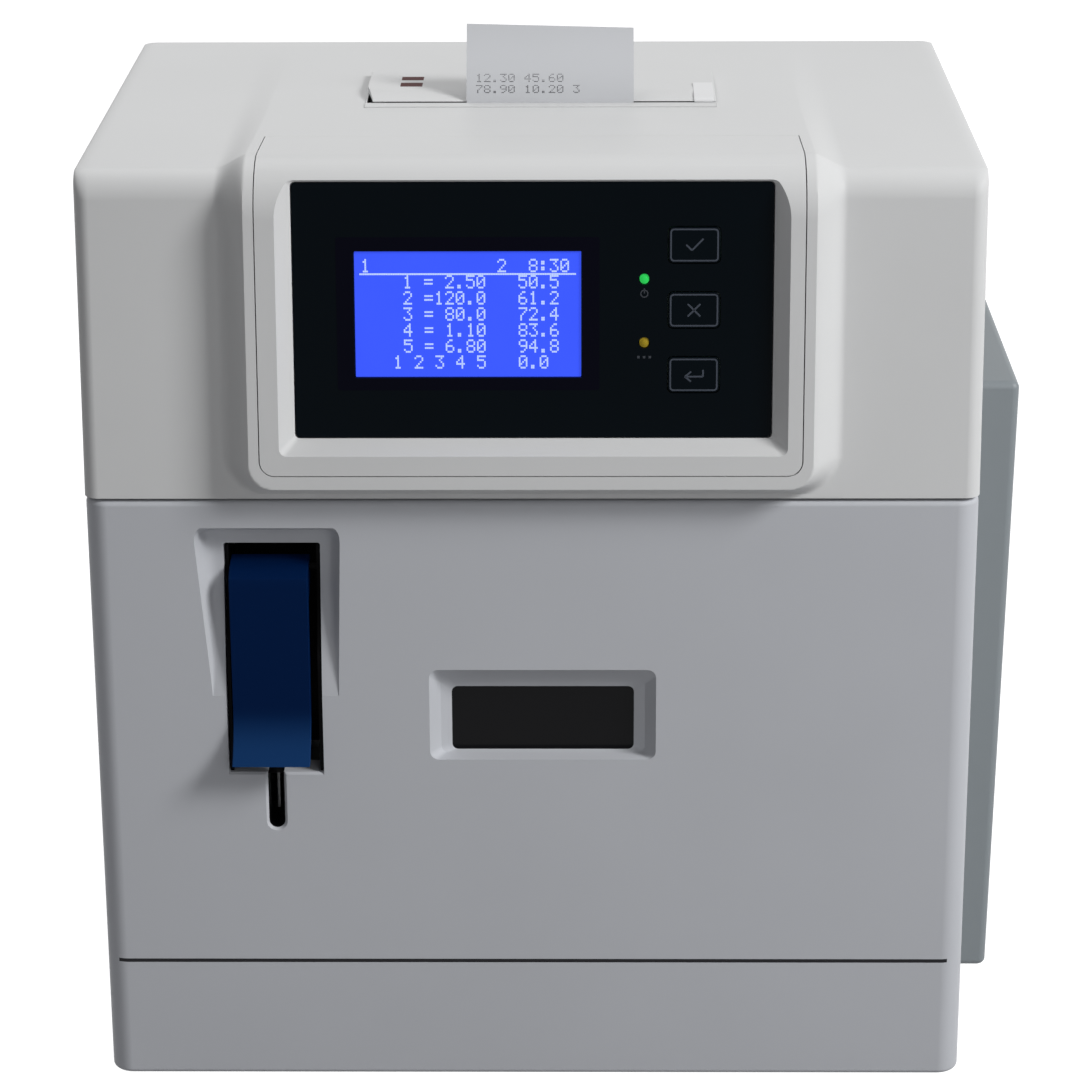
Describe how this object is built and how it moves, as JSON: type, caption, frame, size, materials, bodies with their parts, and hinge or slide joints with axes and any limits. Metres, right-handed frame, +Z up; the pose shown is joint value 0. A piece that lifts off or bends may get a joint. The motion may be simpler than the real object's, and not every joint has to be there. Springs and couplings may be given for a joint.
{
  "type": "electrolyte analyzer",
  "caption": "Bench electrolyte analyzer: two-part casing, sloping console with display and keys, hinged front door with sampling lever, top printer and side reagent pack.",
  "frame": {"origin": "middle of the whole footprint, at the surface it stands on", "axes": "+X to the right seen from the front, +Y from the door to the back, +Z up"},
  "size_m": [0.3086, 0.2264, 0.3444],
  "materials": {
    "casing": "fine moulded texture, satin",
    "door": "fine moulded texture, satin",
    "pack": "satin",
    "black": "satin",
    "panel_gloss": "glossy",
    "pane_gloss": "smoked, glossy",
    "navy": "satin gloss",
    "display": "lit display",
    "key": "satin",
    "lamp_green": "lit lamp",
    "lamp_yellow": "unlit lamp",
    "steel": "brushed",
    "supply": "satin",
    "rubber": "matt",
    "paper": "matt",
    "board": "solder mask",
    "acrylic": "clear acrylic",
    "cell": "polished",
    "tube": "soft tube",
    "bottle": "translucent"
  },
  "bodies": {
    "root": {"upper_housing": "casing", "console_bezel": "casing", "lower_housing": "casing", "printer_frame": "casing", "lever_bracket": "black", "paper_spindle": "black", "sample_detector": "black", "pump_block": "black", "valve_block": "black", "pack_bay": "black", "power_inlet": "black", "lever_pin": "black", "control_panel": "panel_gloss", "lcd_screen": "display", "power_lamp": "lamp_green", "status_lamp": "lamp_yellow", "base_tray": "steel", "deck_plate": "steel", "mounting_plate": "steel", "hinge_pin_upper": "steel", "hinge_pin_lower": "steel", "print_head": "steel", "pump_motor": "steel", "serial_port": "steel", "power_supply": "supply", "foot_1": "rubber", "foot_2": "rubber", "foot_3": "rubber", "foot_4": "rubber", "panel_board": "board", "main_board": "board", "electrode_housing": "acrylic", "electrode_1": "cell", "electrode_2": "cell", "electrode_3": "cell", "electrode_4": "cell", "electrode_5": "cell", "reference_electrode": "cell", "pump_tube": "tube"},
    "door": {"front_door": "door", "window_pane": "pane_gloss"},
    "lever": {"probe_lever": "navy", "needle_holder": "black", "sample_needle": "steel"},
    "key_confirm_body": {"key_confirm": "key"},
    "key_cancel_body": {"key_cancel": "key"},
    "key_return_body": {"key_return": "key"},
    "printer_lid": {"printer_cover": "casing", "paper_strip": "paper"},
    "platen": {"platen_roller": "rubber"},
    "roll": {"paper_roll": "paper"},
    "pump": {"pump_rotor": "cell"},
    "plunger_left": {"valve_plunger_left": "steel"},
    "plunger_right": {"valve_plunger_right": "steel"},
    "pack": {"pack_cover": "pack", "pack_tub": "pack", "standard_bottle_a": "bottle", "standard_bottle_b": "bottle", "waste_bottle": "bottle"},
    "switch": {"power_switch": "black"}
  },
  "joints": [
    {"name": "door_hinge", "type": "hinge", "parent": "root", "child": "door", "pos_m": [-0.14885, -0.08915, 0.108], "axis": [0, 0, -1], "range_deg": [0, 95]},
    {"name": "lever_swing", "type": "hinge", "parent": "root", "child": "lever", "pos_m": [-0.09475, -0.09115, 0.186], "axis": [-1, 0, 0], "range_deg": [0, 55]},
    {"name": "key_confirm_press", "type": "slide", "parent": "root", "child": "key_confirm_body", "axis": [0, 0.9969, -0.0785], "range_m": [0, 0.0006], "stiffness_N_per_m": 600},
    {"name": "key_cancel_press", "type": "slide", "parent": "root", "child": "key_cancel_body", "axis": [0, 0.9969, -0.0785], "range_m": [0, 0.0006], "stiffness_N_per_m": 600},
    {"name": "key_return_press", "type": "slide", "parent": "root", "child": "key_return_body", "axis": [0, 0.9969, -0.0785], "range_m": [0, 0.0006], "stiffness_N_per_m": 600},
    {"name": "printer_lid_hinge", "type": "hinge", "parent": "root", "child": "printer_lid", "pos_m": [-0.0071, 0.04635, 0.3203], "axis": [-1, 0, 0], "range_deg": [0, 75]},
    {"name": "platen_spin", "type": "hinge", "parent": "printer_lid", "child": "platen", "pos_m": [-0.0071, 0.01005, 0.314], "axis": [1, 0, 0], "continuous": true},
    {"name": "roll_spin", "type": "hinge", "parent": "root", "child": "roll", "pos_m": [-0.00385, 0.02285, 0.29], "axis": [1, 0, 0], "continuous": true},
    {"name": "pump_spin", "type": "hinge", "parent": "root", "child": "pump", "pos_m": [0.06665, -0.05915, 0.101], "axis": [0, 1, 0], "continuous": true},
    {"name": "plunger_left_lift", "type": "slide", "parent": "root", "child": "plunger_left", "axis": [0, 0, 1], "range_m": [0, 0.002], "stiffness_N_per_m": 200},
    {"name": "plunger_right_lift", "type": "slide", "parent": "root", "child": "plunger_right", "axis": [0, 0, 1], "range_m": [0, 0.002], "stiffness_N_per_m": 200},
    {"name": "pack_slide", "type": "slide", "parent": "root", "child": "pack", "axis": [1, 0, 0], "range_m": [0, 0.075]},
    {"name": "power_rocker", "type": "hinge", "parent": "root", "child": "switch", "pos_m": [-0.10935, 0.10835, 0.08], "axis": [1, 0, 0], "range_deg": [-8, 8]}
  ]
}
